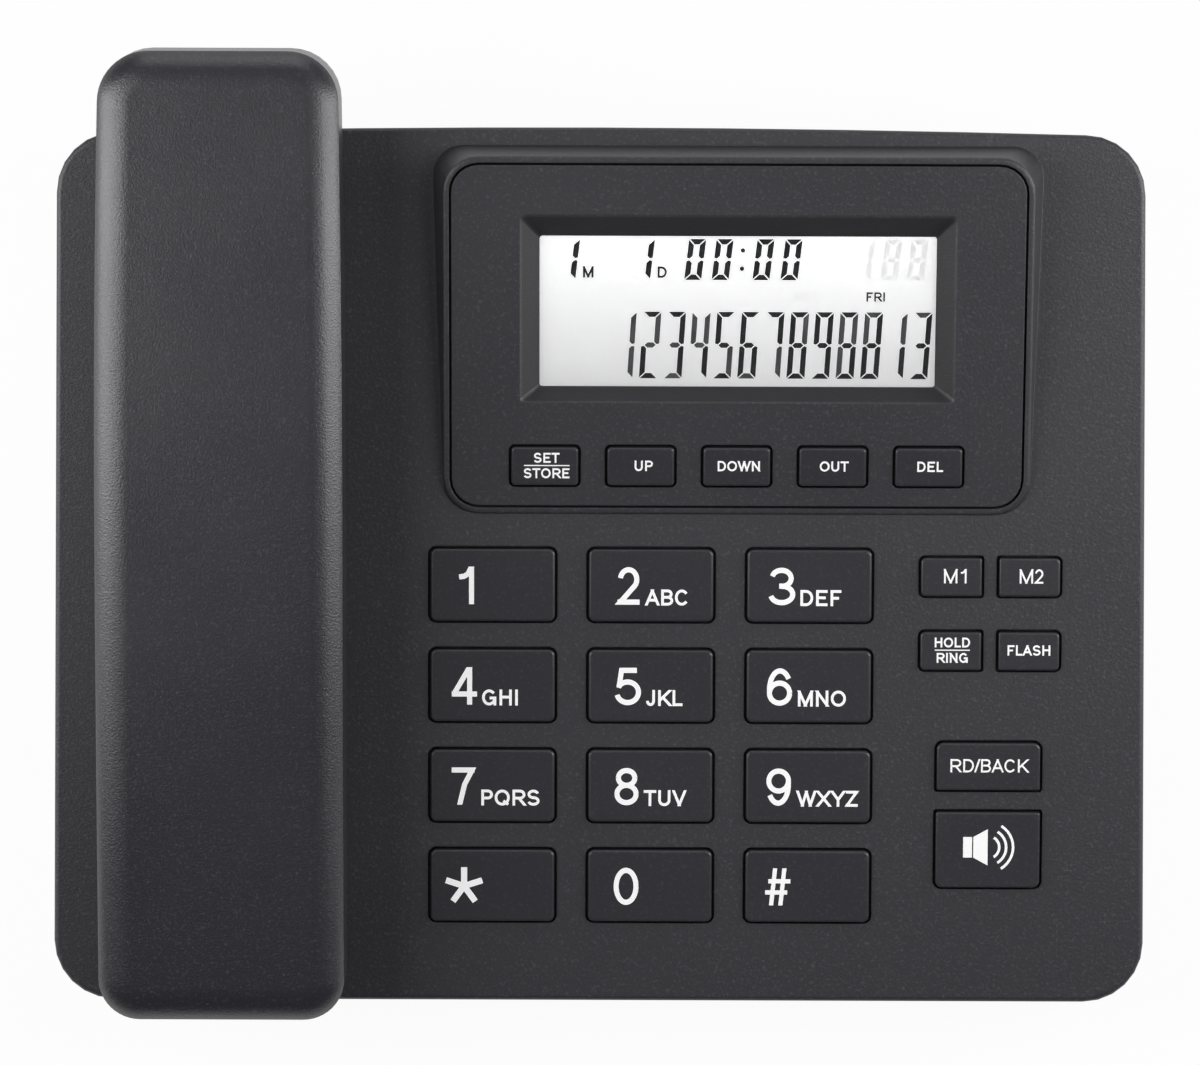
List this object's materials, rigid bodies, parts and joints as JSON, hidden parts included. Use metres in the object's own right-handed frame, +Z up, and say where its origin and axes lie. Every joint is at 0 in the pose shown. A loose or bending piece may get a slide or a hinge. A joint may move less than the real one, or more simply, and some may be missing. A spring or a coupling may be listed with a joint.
{
  "type": "caller id telephone",
  "caption": "Corded desk telephone: sloped base with a dial keypad, raised caller display with keys, side keys, and a handset lying in a cradle at the left.",
  "frame": {"origin": "on the desk under the middle of the object's outline seen from above, feet at z = 0", "axes": "+X to the right of the keypad, +Y to the back of the phone, +Z up"},
  "size_m": [0.2204, 0.1928, 0.0716],
  "materials": {
    "housing_plastic": "moulded ABS with a fine spark texture",
    "key_plastic": "moulded ABS with a fine matt texture",
    "foot_rubber": "moulded",
    "mat_rubber": "moulded silicone",
    "screw_steel": "zinc plated",
    "weight_steel": "cut bar",
    "board_laminate": "solder resist",
    "clear_pane": "polished clear acrylic",
    "display_glass": "reflective twisted nematic display",
    "socket_plastic": "moulded nylon",
    "speaker_metal": "pressed basket and magnet",
    "capsule_plastic": "moulded",
    "capsule_metal": "drawn can"
  },
  "bodies": {
    "base": {"base_bottom": "housing_plastic", "base_top": "housing_plastic", "feet": "foot_rubber", "base_screws": "screw_steel", "main_board": "board_laminate", "dial_mat": "mat_rubber", "display_bezel": "housing_plastic", "display_window": "clear_pane", "lcd_module": "display_glass", "display_board": "board_laminate", "function_mat": "mat_rubber", "board_screws": "screw_steel", "line_jack": "socket_plastic", "handset_jack": "socket_plastic", "loudspeaker": "speaker_metal", "base_microphone": "capsule_metal", "hook_switch": "socket_plastic"},
    "handset": {"handset_top": "housing_plastic", "handset_bottom": "housing_plastic", "ear_speaker": "capsule_plastic", "handset_microphone": "capsule_metal", "handset_weight": "weight_steel", "handset_socket": "socket_plastic", "handset_screws": "screw_steel"},
    "hook_plunger": {"hook_plunger": "key_plastic"},
    "key_1": {"key_1": "key_plastic"},
    "key_2": {"key_2": "key_plastic"},
    "key_3": {"key_3": "key_plastic"},
    "key_4": {"key_4": "key_plastic"},
    "key_5": {"key_5": "key_plastic"},
    "key_6": {"key_6": "key_plastic"},
    "key_7": {"key_7": "key_plastic"},
    "key_8": {"key_8": "key_plastic"},
    "key_9": {"key_9": "key_plastic"},
    "key_star": {"key_star": "key_plastic"},
    "key_0": {"key_0": "key_plastic"},
    "key_hash": {"key_hash": "key_plastic"},
    "key_set": {"key_set": "key_plastic"},
    "key_up": {"key_up": "key_plastic"},
    "key_down": {"key_down": "key_plastic"},
    "key_out": {"key_out": "key_plastic"},
    "key_del": {"key_del": "key_plastic"},
    "key_m1": {"key_m1": "key_plastic"},
    "key_m2": {"key_m2": "key_plastic"},
    "key_hold": {"key_hold": "key_plastic"},
    "key_flash": {"key_flash": "key_plastic"},
    "key_redial": {"key_redial": "key_plastic"},
    "key_speaker": {"key_speaker": "key_plastic"}
  },
  "joints": [
    {"name": "key_1_press", "type": "slide", "parent": "base", "child": "key_1", "axis": [0, 0.1219, -0.9925], "range_m": [0, 0.0012], "stiffness_N_per_m": 300, "springref_m": -0.0005, "deforming": ["dial_mat"]},
    {"name": "key_2_press", "type": "slide", "parent": "base", "child": "key_2", "axis": [0, 0.1219, -0.9925], "range_m": [0, 0.0012], "stiffness_N_per_m": 300, "springref_m": -0.0005, "deforming": ["dial_mat"]},
    {"name": "key_3_press", "type": "slide", "parent": "base", "child": "key_3", "axis": [0, 0.1219, -0.9925], "range_m": [0, 0.0012], "stiffness_N_per_m": 300, "springref_m": -0.0005, "deforming": ["dial_mat"]},
    {"name": "key_4_press", "type": "slide", "parent": "base", "child": "key_4", "axis": [0, 0.1219, -0.9925], "range_m": [0, 0.0012], "stiffness_N_per_m": 300, "springref_m": -0.0005, "deforming": ["dial_mat"]},
    {"name": "key_5_press", "type": "slide", "parent": "base", "child": "key_5", "axis": [0, 0.1219, -0.9925], "range_m": [0, 0.0012], "stiffness_N_per_m": 300, "springref_m": -0.0005, "deforming": ["dial_mat"]},
    {"name": "key_6_press", "type": "slide", "parent": "base", "child": "key_6", "axis": [0, 0.1219, -0.9925], "range_m": [0, 0.0012], "stiffness_N_per_m": 300, "springref_m": -0.0005, "deforming": ["dial_mat"]},
    {"name": "key_7_press", "type": "slide", "parent": "base", "child": "key_7", "axis": [0, 0.1219, -0.9925], "range_m": [0, 0.0012], "stiffness_N_per_m": 300, "springref_m": -0.0005, "deforming": ["dial_mat"]},
    {"name": "key_8_press", "type": "slide", "parent": "base", "child": "key_8", "axis": [0, 0.1219, -0.9925], "range_m": [0, 0.0012], "stiffness_N_per_m": 300, "springref_m": -0.0005, "deforming": ["dial_mat"]},
    {"name": "key_9_press", "type": "slide", "parent": "base", "child": "key_9", "axis": [0, 0.1219, -0.9925], "range_m": [0, 0.0012], "stiffness_N_per_m": 300, "springref_m": -0.0005, "deforming": ["dial_mat"]},
    {"name": "key_star_press", "type": "slide", "parent": "base", "child": "key_star", "axis": [0, 0.1219, -0.9925], "range_m": [0, 0.0012], "stiffness_N_per_m": 300, "springref_m": -0.0005, "deforming": ["dial_mat"]},
    {"name": "key_0_press", "type": "slide", "parent": "base", "child": "key_0", "axis": [0, 0.1219, -0.9925], "range_m": [0, 0.0012], "stiffness_N_per_m": 300, "springref_m": -0.0005, "deforming": ["dial_mat"]},
    {"name": "key_hash_press", "type": "slide", "parent": "base", "child": "key_hash", "axis": [0, 0.1219, -0.9925], "range_m": [0, 0.0012], "stiffness_N_per_m": 300, "springref_m": -0.0005, "deforming": ["dial_mat"]},
    {"name": "key_m1_press", "type": "slide", "parent": "base", "child": "key_m1", "axis": [0, 0.1219, -0.9925], "range_m": [0, 0.0012], "stiffness_N_per_m": 300, "springref_m": -0.0005, "deforming": ["dial_mat"]},
    {"name": "key_m2_press", "type": "slide", "parent": "base", "child": "key_m2", "axis": [0, 0.1219, -0.9925], "range_m": [0, 0.0012], "stiffness_N_per_m": 300, "springref_m": -0.0005, "deforming": ["dial_mat"]},
    {"name": "key_hold_press", "type": "slide", "parent": "base", "child": "key_hold", "axis": [0, 0.1219, -0.9925], "range_m": [0, 0.0012], "stiffness_N_per_m": 300, "springref_m": -0.0005, "deforming": ["dial_mat"]},
    {"name": "key_flash_press", "type": "slide", "parent": "base", "child": "key_flash", "axis": [0, 0.1219, -0.9925], "range_m": [0, 0.0012], "stiffness_N_per_m": 300, "springref_m": -0.0005, "deforming": ["dial_mat"]},
    {"name": "key_redial_press", "type": "slide", "parent": "base", "child": "key_redial", "axis": [0, 0.1219, -0.9925], "range_m": [0, 0.0012], "stiffness_N_per_m": 300, "springref_m": -0.0005, "deforming": ["dial_mat"]},
    {"name": "key_speaker_press", "type": "slide", "parent": "base", "child": "key_speaker", "axis": [0, 0.1219, -0.9925], "range_m": [0, 0.0012], "stiffness_N_per_m": 300, "springref_m": -0.0005, "deforming": ["dial_mat"]},
    {"name": "key_set_press", "type": "slide", "parent": "base", "child": "key_set", "axis": [0, 0.2419, -0.9703], "range_m": [0, 0.0012], "stiffness_N_per_m": 300, "springref_m": -0.0005, "deforming": ["function_mat"]},
    {"name": "key_up_press", "type": "slide", "parent": "base", "child": "key_up", "axis": [0, 0.2419, -0.9703], "range_m": [0, 0.0012], "stiffness_N_per_m": 300, "springref_m": -0.0005, "deforming": ["function_mat"]},
    {"name": "key_down_press", "type": "slide", "parent": "base", "child": "key_down", "axis": [0, 0.2419, -0.9703], "range_m": [0, 0.0012], "stiffness_N_per_m": 300, "springref_m": -0.0005, "deforming": ["function_mat"]},
    {"name": "key_out_press", "type": "slide", "parent": "base", "child": "key_out", "axis": [0, 0.2419, -0.9703], "range_m": [0, 0.0012], "stiffness_N_per_m": 300, "springref_m": -0.0005, "deforming": ["function_mat"]},
    {"name": "key_del_press", "type": "slide", "parent": "base", "child": "key_del", "axis": [0, 0.2419, -0.9703], "range_m": [0, 0.0012], "stiffness_N_per_m": 300, "springref_m": -0.0005, "deforming": ["function_mat"]},
    {"name": "handset_lift", "type": "slide", "parent": "base", "child": "handset", "axis": [0, -0.1219, 0.9925], "range_m": [0, 0.09]},
    {"name": "hook_rise", "type": "slide", "parent": "base", "child": "hook_plunger", "axis": [0, -0.1219, 0.9925], "range_m": [0, 0.0045]}
  ],
  "couplings": [
    {"joint": "hook_rise", "follows": "handset_lift", "ratio": 0.05}
  ]
}
